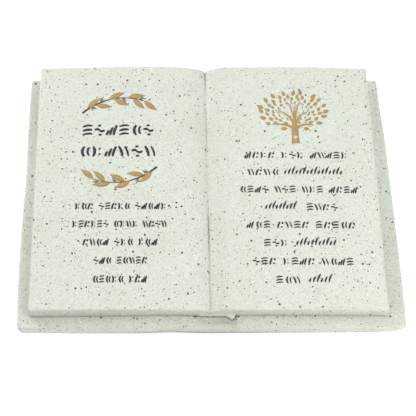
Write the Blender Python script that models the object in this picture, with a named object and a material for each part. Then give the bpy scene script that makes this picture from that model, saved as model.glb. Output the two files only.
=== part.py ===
"""Open book memorial: one solid casting of a book lying open on its cover.

Metres, +Z up. The origin is at the centre of the underside, +X runs to the reader's right
and +Y runs from the foot of the pages, at the front, to their head, at the back.
"""

import math

import bmesh
import bpy
from mathutils import Matrix, Vector

# Cover. Its front right corner is swept back in a long, shallow curve
COVER_WIDTH = 0.200
COVER_DEPTH = 0.155
COVER_THICKNESS = 0.0056
COVER_CROWN = 0.0020
CROWN_STRIPS = 12
FRONT_LEFT_RADIUS = 0.0045
FRONT_RIGHT_SWEEP = 0.021
FRONT_RIGHT_DEPTH = 0.0026
HEAD_CORNER_RADIUS = 0.0018
CORNER_SEGMENTS = 7
COVER_TOP_ROUND = 0.0018
COVER_FOOT_ROUND = 0.0007
ROUND_SEGMENTS = 3

# Borders of cover that show round the pages
LEFT_BORDER = 0.0074
RIGHT_BORDER = 0.0102
FRONT_BORDER = 0.0068
HEAD_BORDER = 0.0050

# Pages: heights above the cover's fore-edge, at the front wall and at the head wall
PAGE_RISE_FRONT = 0.0089
PAGE_RISE_HEAD = 0.0189
PAGE_RIM_RADIUS = 0.0009
PAGE_WALL_DRAFT = 0.0006
LEFT_RIM_RADIUS = 0.0010
RIGHT_RIM_RADIUS = 0.0030
PAGE_COLUMNS = 22
COLUMN_CROWDING = 1.7
RIM_SEGMENTS = 4

# Fall of the page surface from its highest line: into the gutter, deeper at the head than at
# the front, with a sharp crease along its bottom, and gently down to the fore-edges
GUTTER_DEPTH_FRONT = 0.0032
GUTTER_DEPTH_HEAD = 0.0050
GUTTER_WIDTH = 0.0060
CREASE_DEPTH = 0.0011
CREASE_WIDTH = 0.0008
FORE_EDGE_FALL = 0.0014
FORE_EDGE_FALL_WIDTH = 0.046

# Spine: a scoop in the cover under the gutter, which leaves a narrow land of cover at its edge,
# with the rolled lip of the page block over it, whose right end hangs out and down as a tongue
SPINE_OFFSET = 0.0030
SPINE_HALF_WIDTH = 0.0102
SCOOP_DEPTH = 0.0020
SCOOP_LAND = 0.0012
LIP_RADIUS = 0.0008
LIP_SIDES = 2
LIP_POINTS = 15
TONGUE_REACH = 0.0014
TONGUE_DROP = 0.0007
TONGUE_PLACE = 0.84
TONGUE_WIDTH = 0.10

STONE_COLOUR = (0.735, 0.775, 0.700, 1.0)
STONE_ROUGHNESS = 0.72


def clear_scene():
    for thing in list(bpy.data.objects):
        bpy.data.objects.remove(thing)


def stone_material():
    material = bpy.data.materials.new("pale_stone_resin")
    material.use_nodes = True
    shader = material.node_tree.nodes["Principled BSDF"]
    shader.inputs["Base Color"].default_value = STONE_COLOUR
    shader.inputs["Roughness"].default_value = STONE_ROUGHNESS
    shader.inputs["Metallic"].default_value = 0.0
    return material


def add_object(name, form):
    """A new object that holds the bmesh form, in triangles, with its faces pointing out."""
    form.normal_update()
    bmesh.ops.triangulate(form, faces=form.faces[:])
    bmesh.ops.recalc_face_normals(form, faces=form.faces)
    mesh = bpy.data.meshes.new(name)
    form.to_mesh(mesh)
    form.free()
    thing = bpy.data.objects.new(name, mesh)
    bpy.context.scene.collection.objects.link(thing)
    return thing


def mark_as_tool(thing):
    thing.display_type = "WIRE"
    thing.hide_render = True
    return thing


def add_boolean(target, tool, operation):
    step = target.modifiers.new(f"{operation.lower()}_{tool.name}", "BOOLEAN")
    step.operation = operation
    step.solver = "EXACT"
    step.object = mark_as_tool(tool)


def cover_crown(x):
    """Extra height of the cover's top at x: most at the spine, none at the fore-edges."""
    return COVER_CROWN * (1.0 - (2.0 * x / COVER_WIDTH) ** 2)


def cover_top(x):
    return COVER_THICKNESS + cover_crown(x)


def cover_outline():
    """The cover's outline seen from above, anticlockwise from the front right corner."""
    corners = (
        (1, -1, FRONT_RIGHT_SWEEP, FRONT_RIGHT_DEPTH, -90.0),
        (1, 1, HEAD_CORNER_RADIUS, HEAD_CORNER_RADIUS, 0.0),
        (-1, 1, HEAD_CORNER_RADIUS, HEAD_CORNER_RADIUS, 90.0),
        (-1, -1, FRONT_LEFT_RADIUS, FRONT_LEFT_RADIUS, 180.0),
    )
    points = []
    for side_x, side_y, along_x, along_y, start in corners:
        centre_x = side_x * (COVER_WIDTH / 2.0 - along_x)
        centre_y = side_y * (COVER_DEPTH / 2.0 - along_y)
        for step in range(CORNER_SEGMENTS + 1):
            angle = math.radians(start + 90.0 * step / CORNER_SEGMENTS)
            points.append((centre_x + along_x * math.cos(angle), centre_y + along_y * math.sin(angle)))
    return points


def make_cover():
    form = bmesh.new()
    underside = form.faces.new([form.verts.new((x, y, 0.0)) for x, y in cover_outline()])
    raised = bmesh.ops.extrude_face_region(form, geom=[underside])["geom"]
    top_verts = [item for item in raised if isinstance(item, bmesh.types.BMVert)]
    bmesh.ops.translate(form, verts=top_verts, vec=(0.0, 0.0, COVER_THICKNESS))

    for strip in range(1, CROWN_STRIPS):
        bmesh.ops.bisect_plane(
            form,
            geom=form.verts[:] + form.edges[:] + form.faces[:],
            plane_co=(COVER_WIDTH * (strip / CROWN_STRIPS - 0.5), 0.0, 0.0),
            plane_no=(1.0, 0.0, 0.0),
        )
    for vert in form.verts:
        if vert.co.z > COVER_THICKNESS / 2.0:
            vert.co.z += cover_crown(vert.co.x)

    round_outline_edges(form, True, COVER_TOP_ROUND)
    round_outline_edges(form, False, COVER_FOOT_ROUND)
    return add_object("open_book", form)


def round_outline_edges(form, at_top, radius):
    """Rounds the edges where the cover's side wall meets its top or its underside."""
    form.normal_update()
    rim = []
    for edge in form.edges:
        uprights = [abs(face.normal.z) < 0.5 for face in edge.link_faces]
        is_top = min(vert.co.z for vert in edge.verts) > COVER_THICKNESS / 2.0
        if len(uprights) == 2 and sum(uprights) == 1 and is_top == at_top:
            rim.append(edge)
    bmesh.ops.bevel(
        form,
        geom=rim,
        offset=radius,
        offset_type="OFFSET",
        segments=ROUND_SEGMENTS,
        profile=0.5,
        affect="EDGES",
        clamp_overlap=True,
    )


def front_wall():
    return -COVER_DEPTH / 2.0 + FRONT_BORDER


def head_wall():
    return COVER_DEPTH / 2.0 - HEAD_BORDER


def page_half_width():
    return (COVER_WIDTH - LEFT_BORDER - RIGHT_BORDER) / 2.0


def gutter_x():
    """The gutter lies midway between the two fore-edges."""
    return (LEFT_BORDER - RIGHT_BORDER) / 2.0


def along_page(y):
    """0 at the front wall of the page block and 1 at its head wall."""
    return (y - front_wall()) / (head_wall() - front_wall())


def page_plateau(y):
    """Height of the pages' highest line at y: it climbs evenly from the front wall to the head wall."""
    return COVER_THICKNESS + PAGE_RISE_FRONT + (PAGE_RISE_HEAD - PAGE_RISE_FRONT) * along_page(y)


def page_fall(reach, y):
    """How far the page surface lies below its highest line, at a distance reach from the gutter."""
    gutter = GUTTER_DEPTH_FRONT + (GUTTER_DEPTH_HEAD - GUTTER_DEPTH_FRONT) * along_page(y)
    crease = CREASE_DEPTH * max(0.0, 1.0 - reach / CREASE_WIDTH)
    outer = max(0.0, 1.0 - (page_half_width() - reach) / FORE_EDGE_FALL_WIDTH)
    return gutter * math.exp(-reach / GUTTER_WIDTH) + crease + FORE_EDGE_FALL * outer**2


def page_side(y, lowered, rim_radius):
    """One page cut across at y, from the crease to the foot of its wall, as (reach, height) pairs.

    The foot is inside the cover, halfway down, so that the page block and the cover join.
    """
    half = page_half_width()
    flat = half - rim_radius
    reaches = [0.0]
    for step in range(PAGE_COLUMNS + 1):
        reaches.append(CREASE_WIDTH + (flat - CREASE_WIDTH) * (step / PAGE_COLUMNS) ** COLUMN_CROWDING)
    side = [(reach, page_plateau(y) - page_fall(reach, y) - lowered) for reach in reaches]
    rim_height = side[-1][1]
    for step in range(1, RIM_SEGMENTS + 1):
        angle = math.radians(90.0 * step / RIM_SEGMENTS)
        side.append((flat + rim_radius * math.sin(angle), rim_height - rim_radius * (1.0 - math.cos(angle))))
    side.append((half + PAGE_WALL_DRAFT, COVER_THICKNESS / 2.0))
    return side


def page_section(y, lowered):
    """The page block cut across at y, from the left wall over both pages to the right wall."""
    left = [(gutter_x() - reach, z) for reach, z in page_side(y, lowered, LEFT_RIM_RADIUS)]
    right = [(gutter_x() + reach, z) for reach, z in page_side(y, lowered, RIGHT_RIM_RADIUS)]
    return [Vector((x, y, z)) for x, z in left[:0:-1] + right]


def page_stations():
    """Where the block is cut across, and how far its surface is let down there to round the rims."""
    front = []
    head = []
    for step in range(RIM_SEGMENTS + 1):
        angle = math.radians(90.0 * step / RIM_SEGMENTS)
        inset = PAGE_RIM_RADIUS * (1.0 - math.cos(angle))
        lowered = PAGE_RIM_RADIUS * (1.0 - math.sin(angle))
        front.append((front_wall() + inset, lowered))
        head.insert(0, (head_wall() - inset, lowered))
    return front + head


def make_page_block():
    form = bmesh.new()
    rings = []
    for y, lowered in page_stations():
        rings.append([form.verts.new(point) for point in page_section(y, lowered)])
    for ring, following in zip(rings, rings[1:]):
        for index in range(len(ring)):
            after = (index + 1) % len(ring)
            form.faces.new((ring[index], ring[after], following[after], following[index]))
    form.faces.new(rings[0])
    form.faces.new(rings[-1])
    return add_object("page_block", form)


def spine_x():
    return gutter_x() + SPINE_OFFSET


def make_spine_scoop(name, wall_y, border):
    """A shallow bowl that hollows the border of cover where the spine lies under the gutter."""
    form = bmesh.new()
    bmesh.ops.create_uvsphere(form, u_segments=28, v_segments=14, radius=1.0)
    size = Matrix.Diagonal((SPINE_HALF_WIDTH, border - SCOOP_LAND, SCOOP_DEPTH, 1.0))
    place = Matrix.Translation((spine_x(), wall_y, cover_top(spine_x())))
    bmesh.ops.transform(form, matrix=place @ size, verts=form.verts)
    return add_object(name, form)


def make_spine_lip(name, wall_y, outward):
    """The page block's rolled edge over the scoop. Outward, -1 or 1 along Y, is the way out of the wall."""
    route = bpy.data.curves.new(name, "CURVE")
    route.dimensions = "3D"
    route.bevel_depth = LIP_RADIUS
    route.bevel_resolution = LIP_SIDES
    route.use_fill_caps = True
    spline = route.splines.new("POLY")
    spline.points.add(LIP_POINTS - 1)
    for index, point in enumerate(spline.points):
        along = index / (LIP_POINTS - 1)
        tongue = math.exp(-(((along - TONGUE_PLACE) / TONGUE_WIDTH) ** 2))
        x = spine_x() + (SPINE_HALF_WIDTH - LIP_RADIUS) * (2.0 * along - 1.0)
        y = wall_y + outward * TONGUE_REACH * tongue
        z = cover_top(x) + LIP_RADIUS / 2.0 - TONGUE_DROP * tongue
        point.co = (x, y, z, 1.0)
    thing = bpy.data.objects.new(name, route)
    bpy.context.scene.collection.objects.link(thing)
    return as_mesh(thing, name)


def as_mesh(thing, name):
    """Turns a curve object into a mesh object, welded at its caps."""
    evaluated = thing.evaluated_get(bpy.context.evaluated_depsgraph_get())
    form = bmesh.new()
    form.from_mesh(evaluated.to_mesh())
    evaluated.to_mesh_clear()
    bpy.data.objects.remove(thing)
    bmesh.ops.remove_doubles(form, verts=form.verts, dist=1e-6)
    return add_object(name, form)


def main():
    clear_scene()
    book = make_cover()
    book.data.materials.append(stone_material())
    add_boolean(book, make_spine_scoop("front_scoop", front_wall(), FRONT_BORDER), "DIFFERENCE")
    add_boolean(book, make_spine_scoop("head_scoop", head_wall(), HEAD_BORDER), "DIFFERENCE")
    add_boolean(book, make_page_block(), "UNION")
    add_boolean(book, make_spine_lip("front_lip", front_wall(), -1.0), "UNION")
    add_boolean(book, make_spine_lip("head_lip", head_wall(), 1.0), "UNION")
    book.data.shade_smooth()
    book.data.set_sharp_from_angle(angle=math.radians(35.0))


main()
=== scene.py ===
"""Looks of the open book memorial: its speckled cast stone and the print on its two pages.

Metres, +Z up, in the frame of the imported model: X across both pages, Y from foot to head.
"""

import math
import random

import bmesh
import bpy
from mathutils import Matrix, Vector, noise


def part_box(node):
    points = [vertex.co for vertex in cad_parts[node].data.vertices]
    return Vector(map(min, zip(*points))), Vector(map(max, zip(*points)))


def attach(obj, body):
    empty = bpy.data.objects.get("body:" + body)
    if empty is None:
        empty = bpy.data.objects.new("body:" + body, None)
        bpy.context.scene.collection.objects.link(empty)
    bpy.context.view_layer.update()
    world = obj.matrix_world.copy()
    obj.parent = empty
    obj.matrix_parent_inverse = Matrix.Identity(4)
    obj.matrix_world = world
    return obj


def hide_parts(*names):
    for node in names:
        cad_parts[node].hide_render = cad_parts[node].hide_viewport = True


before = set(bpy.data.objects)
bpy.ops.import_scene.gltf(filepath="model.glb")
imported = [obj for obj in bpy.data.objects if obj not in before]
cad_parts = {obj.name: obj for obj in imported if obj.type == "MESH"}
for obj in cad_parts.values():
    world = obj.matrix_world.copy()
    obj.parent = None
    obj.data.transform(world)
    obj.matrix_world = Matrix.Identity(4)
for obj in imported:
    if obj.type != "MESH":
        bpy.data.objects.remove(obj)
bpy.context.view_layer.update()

MM = 0.001

# Main sizes of the casting, the same as in the solid that it replaces
BOX_LOW, BOX_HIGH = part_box("open_book")
COVER_THICKNESS = 5.6 * MM
COVER_CROWN = 2.0 * MM
COVER_TOP_ROUND = 1.8 * MM
COVER_FOOT_ROUND = 0.7 * MM
FRONT_RIGHT_SWEEP = 21.0 * MM
FRONT_RIGHT_DEPTH = 2.6 * MM
HEAD_CORNER_RADIUS = 1.8 * MM
LEFT_BORDER = 7.4 * MM
RIGHT_BORDER = 10.2 * MM
FRONT_BORDER = 6.8 * MM
HEAD_BORDER = 5.0 * MM
PAGE_RISE_FRONT = 8.9 * MM
PAGE_RISE_HEAD = 18.9 * MM
LEFT_RIM_RADIUS = 1.0 * MM
RIGHT_RIM_RADIUS = 3.0 * MM
GUTTER_DEPTH_FRONT = 3.2 * MM
GUTTER_WIDTH = 6.0 * MM
CREASE_DEPTH = 1.1 * MM
CREASE_WIDTH = 0.8 * MM
FORE_EDGE_FALL = 1.4 * MM
FORE_EDGE_FALL_WIDTH = 46.0 * MM
SPINE_OFFSET = 3.0 * MM
SPINE_HALF_WIDTH = 10.2 * MM

# Places that follow from them
PAGE_LEFT = BOX_LOW.x + LEFT_BORDER
PAGE_RIGHT = BOX_HIGH.x - RIGHT_BORDER
PAGE_FRONT = BOX_LOW.y + FRONT_BORDER
PAGE_HEAD = BOX_HIGH.y - HEAD_BORDER
GUTTER_X = (PAGE_LEFT + PAGE_RIGHT) / 2.0
PAGE_HALF = (PAGE_RIGHT - PAGE_LEFT) / 2.0
SPINE_X = GUTTER_X + SPINE_OFFSET
HALF_WIDTH = (BOX_HIGH.x - BOX_LOW.x) / 2.0
ENDS = ((PAGE_FRONT, FRONT_BORDER, -1.0), (PAGE_HEAD, HEAD_BORDER, 1.0))

# Sizes that are a little crisper here than in the solid
FRONT_LEFT_RADIUS = 3.5 * MM
PAGE_RIM_RADIUS = 0.6 * MM
PAGE_WALL_DRAFT = 0.2 * MM
GUTTER_DEPTH_HEAD = 4.3 * MM

# Ends of the spine, also crisper than in the solid: a dish in the cover, a ledge over it that ends
# in a hanging tongue, and a pit beside either end of the ledge. Places along the ledge are shares
# of the spine's half width, and places across the dish are shares of the border.
DISH_DEPTH = 2.3 * MM
DISH_PLACE = 0.36
DISH_SPREAD = 0.44
DISH_SIDE_POWER = 0.6
DISH_TUCK = 0.7 * MM
DISH_SLOPE = 1.2 * MM
LEDGE_REACH = 0.80 * MM
LEDGE_LIFT = 0.35 * MM
LEDGE_HEIGHT = 1.35 * MM
LEDGE_LEAST_HEIGHT = 0.15 * MM
LEDGE_POWER = 1.2
LEDGE_LEFT = (-0.98, -0.80)
LEDGE_LEFT_SLOPE = (-0.98, -0.60)
LEDGE_RIGHT = (0.97, 0.89)
TONGUE_REACH = 1.9 * MM
TONGUE_DROP = 0.65 * MM
TONGUE_PLACE = 0.83
TONGUE_WIDTH = 0.21
PIT_DEPTH = 1.7 * MM
PIT_RADIUS = 1.05 * MM
PIT_START = 0.2 * PIT_RADIUS
PITS = (
    (SPINE_X - SPINE_HALF_WIDTH - 0.6 * MM, PIT_RADIUS),
    (SPINE_X + SPINE_HALF_WIDTH - 0.8 * MM, 1.2 * PIT_RADIUS),
)

# Gutter and pages, in more detail than in the solid. The crease opens at some places along it, each
# given by its place, its spread and its share of the depth.
RIGHT_GUTTER_WIDTH = 10.5 * MM
RIGHT_GUTTER_POWER = 1.3
CREASE_LEAST = 0.12
CREASE_PLACES = (
    (72.0 * MM, 9.0 * MM, 1.3),
    (34.0 * MM, 10.0 * MM, 0.45),
    (-27.0 * MM, 11.0 * MM, 1.0),
    (-58.0 * MM, 16.0 * MM, 0.4),
)
PAGE_ROLL = 0.30 * MM
PAGE_ROLL_PLACE = 7.4 * MM
PAGE_ROLL_WIDTH = 2.8 * MM
LEFT_FALL_AT_FRONT = 0.1

# Out of true: soft dents and bulges of the cover's edges, each given by its place along the edge,
# its spread and its depth, and how far the whole casting is out of square
LEFT_INSETS = ((12.0 * MM, 16.0 * MM, 0.50 * MM), (-78.0 * MM, 17.0 * MM, 1.10 * MM))
RIGHT_INSETS = (
    (82.0 * MM, 26.0 * MM, 1.00 * MM),
    (57.0 * MM, 11.0 * MM, 0.42 * MM),
    (-80.0 * MM, 22.0 * MM, 0.65 * MM),
)
FRONT_INSETS = ((-21.0 * MM, 9.0 * MM, 0.62 * MM), (-95.0 * MM, 20.0 * MM, 0.30 * MM))
HEAD_OUTSETS = ((-31.0 * MM, 24.0 * MM, 0.50 * MM), (48.0 * MM, 20.0 * MM, 0.25 * MM))
OUT_OF_SQUARE = 0.012
PAGE_SET_BACK = 0.45 * MM
RIGHT_PAGE_SAG = 1.0 * MM
EDGE_WANDER = 0.16 * MM
EDGE_WANDER_LENGTH = 13.0 * MM

# Hand finish of the surface
GROOVE_DEPTH = 0.52 * MM
GROOVE_WIDTH = 0.65 * MM
GROOVE_LEAST = 0.45
GROOVE_VARIES = 0.75
GROOVE_CURL = 1.5
LEAF_RELIEF = 0.07 * MM
LEAF_PITCH = 0.9 * MM
LEAF_START = 0.25
SWELL_HEIGHT = 0.09 * MM
SWELL_LENGTH = 17.0 * MM
RIPPLE_HEIGHT = 0.035 * MM
RIPPLE_LENGTH = 4.5 * MM

# How finely the casting is cut
COLUMNS_PER_PAGE = 92
COLUMN_CROWDING = 2.2
EVEN_SHARE = 0.2
PAGE_ROWS = 104
CORNER_STEPS = 9
RIM_STEPS = 7
WALL_STEPS = 40
GROOVE_STEPS = 4
BORDER_STEPS = 18
BORDER_CROWDING = 1.5
ROUND_STEPS = 7
SIDE_STEPS = 3


# Form of the casting


def bell(value, centre, width):
    return math.exp(-(((value - centre) / width) ** 2))


def bells(value, shapes):
    """A sum of soft bumps, each given as its place, its spread and its size."""
    return sum(size * bell(value, place, spread) for place, spread, size in shapes)


def between(share, start, end):
    return start + share * (end - start)


def ramp(value, start, end):
    """Eases from 0 at the start to 1 at the end, which may be the lower of the two."""
    share = min(1.0, max(0.0, (value - start) / (end - start)))
    return share * share * (3.0 - 2.0 * share)


def unevenness(x, y, z):
    """The slow swell and small ripple of a hand-finished casting, up to twice their heights deep."""
    swell = noise.noise(Vector((x, y, z)) / SWELL_LENGTH)
    ripple = noise.noise(Vector((x, y, z)) / RIPPLE_LENGTH)
    return SWELL_HEIGHT * (swell - 1.0) + RIPPLE_HEIGHT * (ripple - 1.0)


def along_page(y):
    return (y - PAGE_FRONT) / (PAGE_HEAD - PAGE_FRONT)


def page_height(x, y):
    """Height of the page surface, smooth, without its unevenness."""
    along = along_page(y)
    plateau = COVER_THICKNESS + between(along, PAGE_RISE_FRONT, PAGE_RISE_HEAD)
    reach = abs(x - GUTTER_X)
    if x < GUTTER_X:
        fall = math.exp(-reach / GUTTER_WIDTH)
    else:
        fall = max(0.0, 1.0 - reach / RIGHT_GUTTER_WIDTH) ** RIGHT_GUTTER_POWER
    fall *= between(along, GUTTER_DEPTH_FRONT, GUTTER_DEPTH_HEAD)
    crease = CREASE_DEPTH * max(0.0, 1.0 - reach / CREASE_WIDTH)
    crease *= CREASE_LEAST + bells(y, CREASE_PLACES)
    outer = max(0.0, 1.0 - (PAGE_HALF - reach) / FORE_EDGE_FALL_WIDTH)
    if x < GUTTER_X:
        outer *= math.sqrt(between(max(along, 0.0), LEFT_FALL_AT_FRONT, 1.0))
    roll = PAGE_ROLL * (1.0 - along) * bell(reach, PAGE_ROLL_PLACE, PAGE_ROLL_WIDTH)
    return plateau - fall - crease + roll - FORE_EDGE_FALL * outer**2


def page_surface(x, y):
    return page_height(x, y) + unevenness(x, y, 0.0)


def plain_cover_height(x):
    return COVER_THICKNESS + COVER_CROWN * (1.0 - (x / HALF_WIDTH) ** 2)


def cover_height(x, y):
    """Height of the cover's top, with a dish and two pits at either end of the spine."""
    z = plain_cover_height(x)
    sides = max(0.0, 1.0 - across_spine(x) ** 2) ** DISH_SIDE_POWER
    back = ledge_edge(x) - DISH_TUCK
    for wall, border, out in ENDS:
        beyond = (y - wall) * out
        depth = DISH_DEPTH * sides * bell(beyond / border, DISH_PLACE, DISH_SPREAD)
        z -= depth * ramp(beyond, back, back + DISH_SLOPE)
        for pit_x, reach in PITS:
            z -= PIT_DEPTH * bell(x, pit_x, PIT_RADIUS) * bell(beyond, PIT_START, reach)
    return z


def across_spine(x):
    """Place across the spine, from -1 at its left edge to 1 at its right."""
    return (x - SPINE_X) / SPINE_HALF_WIDTH


def tongue(across):
    return bell(across, TONGUE_PLACE, TONGUE_WIDTH)


def ledge_edge(x):
    """How far the ledge at an end of the spine stands out of the wall: furthest at its tongue."""
    across = across_spine(x)
    ends = ramp(across, *LEDGE_LEFT) * ramp(across, *LEDGE_RIGHT)
    return ends * (LEDGE_REACH + TONGUE_REACH * tongue(across))


def ledge_reach(x, z):
    """How far the ledge stands out at a height. Its underside is flat but for the hanging tongue."""
    across = across_spine(x)
    if abs(across) > 1.0:
        return 0.0
    bottom = plain_cover_height(x) + LEDGE_LIFT - TONGUE_DROP * tongue(across)
    rise = ramp(across, *LEDGE_LEFT_SLOPE) * ramp(across, *LEDGE_RIGHT)
    above = (z - bottom) / (LEDGE_LEAST_HEIGHT + LEDGE_HEIGHT * rise)
    if above < 0.0 or above > 1.0:
        return 0.0
    return ledge_edge(x) * (1.0 - above**LEDGE_POWER)


def leaf_relief(x, y, z):
    """Shallow furrows round the page block, like the edges of its leaves."""
    wander = 0.6 * noise.noise(Vector((x, y, 3.0 * z)) / SWELL_LENGTH)
    stretch = Vector((x, y, 9.0 * z)) / EDGE_WANDER_LENGTH + Vector((7.0, 0.0, 0.0))
    depth = 0.5 + 0.5 * noise.noise(stretch)
    return -LEAF_RELIEF * depth * (1.0 + math.sin(2.0 * math.pi * (z / LEAF_PITCH + wander)))


# The casting's mesh: rings round the page block and the cover, outward and down, from the
# page surface to the underside. Every ring has the same stations, so that rings join in quads.


def column_shares():
    """Places of the page columns from the gutter, 0, to the fore-edge, 1, crowded at the gutter."""
    shares = []
    for step in range(COLUMNS_PER_PAGE + 1):
        even = step / COLUMNS_PER_PAGE
        shares.append(EVEN_SHARE * even + (1.0 - EVEN_SHARE) * even**COLUMN_CROWDING)
    return shares


SHARES = column_shares()
ACROSS = [-share for share in reversed(SHARES[1:])] + SHARES
ALONG = [step / PAGE_ROWS for step in range(PAGE_ROWS + 1)]


def column_x(share, left, right):
    return GUTTER_X + share * ((right - GUTTER_X) if share > 0.0 else (GUTTER_X - left))


def outline(box, corners):
    """Stations round a box with rounded corners, as (x, y, angle out), anticlockwise from the front left.

    box is (left, right, front, head). corners are the (x, y) radii of the front right,
    head right, head left and front left corners.
    """
    left, right, front, head = box
    front_right, head_right, head_left, front_left = corners
    stations = []
    for share in ACROSS:
        x = column_x(share, left + front_left[0], right - front_right[0])
        stations.append((x, front, -90.0))
    stations += corner(right, front, front_right, 1.0, -1.0, -90.0)
    for share in ALONG:
        y = between(share, front + front_right[1], head - head_right[1])
        stations.append((right, y, 0.0))
    stations += corner(right, head, head_right, 1.0, 1.0, 0.0)
    for share in reversed(ACROSS):
        x = column_x(share, left + head_left[0], right - head_right[0])
        stations.append((x, head, 90.0))
    stations += corner(left, head, head_left, -1.0, 1.0, 90.0)
    for share in reversed(ALONG):
        y = between(share, front + front_left[1], head - head_left[1])
        stations.append((left, y, 180.0))
    stations += corner(left, front, front_left, -1.0, -1.0, 180.0)
    return [(x, y, math.radians(angle)) for x, y, angle in stations]


def corner(x, y, radii, side_x, side_y, start):
    """The stations within one corner, without its two ends."""
    turn = []
    for step in range(1, CORNER_STEPS):
        angle = start + 90.0 * step / CORNER_STEPS
        out_x = radii[0] * (math.cos(math.radians(angle)) - side_x)
        out_y = radii[1] * (math.sin(math.radians(angle)) - side_y)
        turn.append((x + out_x, y + out_y, angle))
    return turn


def rim_radius(angle):
    """The radius of the page block's upper rim on the side that faces along angle."""
    side = RIGHT_RIM_RADIUS if math.cos(angle) > 0.0 else LEFT_RIM_RADIUS
    return side * math.cos(angle) ** 2 + PAGE_RIM_RADIUS * math.sin(angle) ** 2


def page_outline(turned):
    """The page block's outline, drawn in as its rim turns from flat, 0, to upright, 1."""
    inset = 1.0 - math.sin(math.pi / 2.0 * turned)
    left = LEFT_RIM_RADIUS * inset
    right = RIGHT_RIM_RADIUS * inset
    end = PAGE_RIM_RADIUS * inset
    corner_y = PAGE_RIM_RADIUS - end
    on_right = (max(PAGE_RIM_RADIUS - right, 0.0), corner_y)
    on_left = (max(PAGE_RIM_RADIUS - left, 0.0), corner_y)
    box = (PAGE_LEFT + left, PAGE_RIGHT - right, PAGE_FRONT + end, PAGE_HEAD - end)
    return outline(box, (on_right, on_right, on_left, on_left))


def cover_outline(inset):
    def drawn_in(along_x, along_y):
        return max(along_x - inset, 0.0), max(along_y - inset, 0.0)

    box = (BOX_LOW.x + inset, BOX_HIGH.x - inset, BOX_LOW.y + inset, BOX_HIGH.y - inset)
    front_right = drawn_in(FRONT_RIGHT_SWEEP, FRONT_RIGHT_DEPTH)
    head = drawn_in(HEAD_CORNER_RADIUS, HEAD_CORNER_RADIUS)
    front_left = drawn_in(FRONT_LEFT_RADIUS, FRONT_LEFT_RADIUS)
    return outline(box, (front_right, head, head, front_left))


def rim_rings():
    rings = []
    for step in range(1, RIM_STEPS + 1):
        turned = step / RIM_STEPS
        ring = []
        for x, y, angle in page_outline(turned):
            drop = rim_radius(angle) * (1.0 - math.cos(math.pi / 2.0 * turned))
            ring.append(Vector((x, y, page_surface(x, y) - drop)))
        rings.append(ring)
    return rings


def wall_rings(rim):
    """The page block's walls, from the rim down into the groove, with furrows and the spine's ledges."""
    rings = []
    stations = page_outline(1.0)
    for step in range(1, WALL_STEPS + 1):
        down = step / WALL_STEPS
        ring = []
        for top, (x, y, angle) in zip(rim, stations):
            floor = cover_height(x, y)
            z = top.z + (floor - groove_depth(x, y) - top.z) * down
            at_end = abs(math.sin(angle)) ** 8
            out = PAGE_WALL_DRAFT * down + leaf_relief(x, y, z) * min(1.0, down / LEAF_START)
            out += ledge_reach(x, z) * at_end
            ring.append(Vector((x + out * math.cos(angle), y + out * math.sin(angle), z)))
        rings.append(ring)
    return rings


def groove_depth(x, y):
    """The narrow groove that parts the page block from the cover, uneven as a mould leaves it."""
    share = 0.5 + 0.5 * noise.noise(Vector((x, y, 0.05)) / SWELL_LENGTH)
    return GROOVE_DEPTH * (GROOVE_LEAST + GROOVE_VARIES * share)


def groove_rings(foot):
    rings = []
    stations = page_outline(1.0)
    for step in range(1, GROOVE_STEPS + 1):
        share = step / GROOVE_STEPS
        ring = []
        for start, (x, y, angle) in zip(foot, stations):
            place_x = start.x + GROOVE_WIDTH * share * math.cos(angle)
            place_y = start.y + GROOVE_WIDTH * share * math.sin(angle)
            left_over = groove_depth(x, y) * (1.0 - share) ** GROOVE_CURL
            z = cover_height(place_x, place_y) - left_over
            ring.append(Vector((place_x, place_y, z)))
        rings.append(ring)
    return rings


def edge_wander(x, y):
    """The cover's edge isn't quite straight: how far it falls short of the true outline."""
    return EDGE_WANDER * (0.5 + 0.5 * noise.noise(Vector((x, y, 0.0)) / EDGE_WANDER_LENGTH))


def border_rings(inner):
    rings = []
    outer = cover_outline(COVER_TOP_ROUND)
    for step in range(1, BORDER_STEPS + 1):
        share = (step / BORDER_STEPS) ** BORDER_CROWDING
        ring = []
        for start, (x, y, angle) in zip(inner, outer):
            short = edge_wander(x, y)
            end_x = x - short * math.cos(angle)
            end_y = y - short * math.sin(angle)
            place_x = between(share, start.x, end_x)
            place_y = between(share, start.y, end_y)
            z = cover_height(place_x, place_y) + share * unevenness(place_x, place_y, 0.02)
            ring.append(Vector((place_x, place_y, z)))
        rings.append(ring)
    return rings


def cover_edge_rings(shoulder):
    """The rounded shoulder, the upright side and the rounded foot of the cover."""
    rings = []
    for step in range(1, ROUND_STEPS + 1):
        turn = math.pi / 2.0 * step / ROUND_STEPS
        drop = COVER_TOP_ROUND * (1.0 - math.cos(turn))
        rings.append(edge_ring(shoulder, COVER_TOP_ROUND * math.sin(turn), 1.0, -drop))
    for step in range(1, SIDE_STEPS + 1):
        share = 1.0 - step / SIDE_STEPS
        level = COVER_FOOT_ROUND - share * (COVER_TOP_ROUND + COVER_FOOT_ROUND)
        rings.append(edge_ring(shoulder, COVER_TOP_ROUND, share, level))
    for step in range(1, ROUND_STEPS + 1):
        turn = math.pi / 2.0 * step / ROUND_STEPS
        out = COVER_TOP_ROUND - COVER_FOOT_ROUND * (1.0 - math.cos(turn))
        rings.append(edge_ring(shoulder, out, 0.0, COVER_FOOT_ROUND * (1.0 - math.sin(turn))))
    return rings


def edge_ring(shoulder, out, share, level):
    """A ring outside the shoulder, at a level plus a share of the shoulder's own height."""
    ring = []
    for start, (_, _, angle) in zip(shoulder, cover_outline(COVER_TOP_ROUND)):
        x = start.x + out * math.cos(angle)
        y = start.y + out * math.sin(angle)
        ring.append(Vector((x, y, level + share * start.z)))
    return ring


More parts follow.
